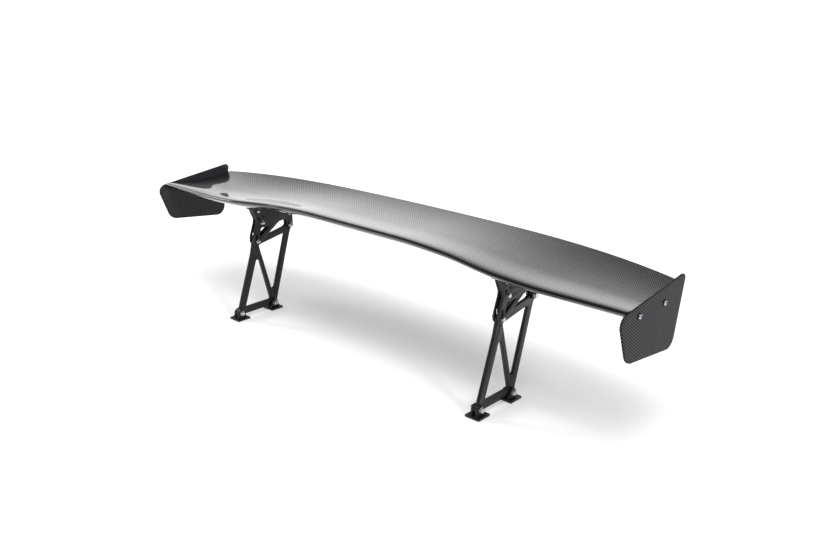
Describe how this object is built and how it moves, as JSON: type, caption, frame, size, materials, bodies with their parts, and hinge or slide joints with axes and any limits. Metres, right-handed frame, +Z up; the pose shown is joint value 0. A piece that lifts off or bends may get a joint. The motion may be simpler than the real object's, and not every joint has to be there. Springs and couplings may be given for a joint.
{
  "type": "racing rear wing",
  "caption": "Arched carbon-fibre rear wing between end plates, on braced stands with a tilt pivot, an index slot for the angle of attack and clevis feet.",
  "frame": {"origin": "on the ground, under the middle of the bounding box", "axes": "+X along the span, +Y from the leading edge back to the trailing edge, +Z up"},
  "size_m": [1.7108, 0.3914, 0.3947],
  "materials": {
    "clear_coated_carbon": "twill carbon fibre under a gloss clear coat",
    "end_plate_carbon": "twill carbon fibre under a gloss clear coat",
    "bare_laminate": "bare laminate",
    "plain_aluminium": "machined",
    "bonding_paste": "matt",
    "black_cup_washer": "black anodised",
    "black_anodised": "satin black anodised",
    "bright_steel": "bright zinc"
  },
  "bodies": {
    "stands": {"stand_plate_l": "black_anodised", "stand_plate_r": "black_anodised", "pivot_bolts": "bright_steel", "pivot_nuts": "bright_steel", "pivot_washers": "bright_steel", "index_bolts": "bright_steel", "index_nuts": "bright_steel", "index_washers": "bright_steel", "foot_bolts": "bright_steel", "foot_nuts": "bright_steel", "foot_washers": "bright_steel"},
    "wing": {"upper_skin": "clear_coated_carbon", "lower_skin": "clear_coated_carbon", "main_spar": "bare_laminate", "rear_spar": "bare_laminate", "end_rib_l": "bare_laminate", "end_rib_r": "bare_laminate", "hard_points_l": "plain_aluminium", "hard_points_r": "plain_aluminium", "end_plate_l": "end_plate_carbon", "end_plate_r": "end_plate_carbon", "end_plate_screws": "bright_steel", "end_plate_washers": "black_cup_washer", "bedding_pad_l": "bonding_paste", "bedding_pad_r": "bonding_paste", "saddle_l": "black_anodised", "saddle_r": "black_anodised", "saddle_screws": "bright_steel", "cheek_outer_l": "black_anodised", "cheek_inner_l": "black_anodised", "cheek_outer_r": "black_anodised", "cheek_inner_r": "black_anodised", "bracket_bolts": "bright_steel", "bracket_nuts": "bright_steel", "bracket_washers": "bright_steel"},
    "foot_front_l_body": {"foot_front_l": "black_anodised"},
    "foot_front_r_body": {"foot_front_r": "black_anodised"},
    "foot_rear_l_body": {"foot_rear_l": "black_anodised"},
    "foot_rear_r_body": {"foot_rear_r": "black_anodised"}
  },
  "joints": [
    {"name": "wing_tilt", "type": "hinge", "parent": "stands", "child": "wing", "pos_m": [0, 0.03495, 0.263], "axis": [1, 0, 0], "range_deg": [0, 9]},
    {"name": "foot_front_l_tilt", "type": "hinge", "parent": "stands", "child": "foot_front_l_body", "pos_m": [-0.4725, -0.17375, 0.02], "axis": [1, 0, 0], "range_deg": [-12, 12]},
    {"name": "foot_front_r_tilt", "type": "hinge", "parent": "stands", "child": "foot_front_r_body", "pos_m": [0.4725, -0.17375, 0.02], "axis": [1, 0, 0], "range_deg": [-12, 12]},
    {"name": "foot_rear_l_tilt", "type": "hinge", "parent": "stands", "child": "foot_rear_l_body", "pos_m": [-0.4725, -0.04325, 0.02], "axis": [1, 0, 0], "range_deg": [-12, 12]},
    {"name": "foot_rear_r_tilt", "type": "hinge", "parent": "stands", "child": "foot_rear_r_body", "pos_m": [0.4725, -0.04325, 0.02], "axis": [1, 0, 0], "range_deg": [-12, 12]}
  ]
}
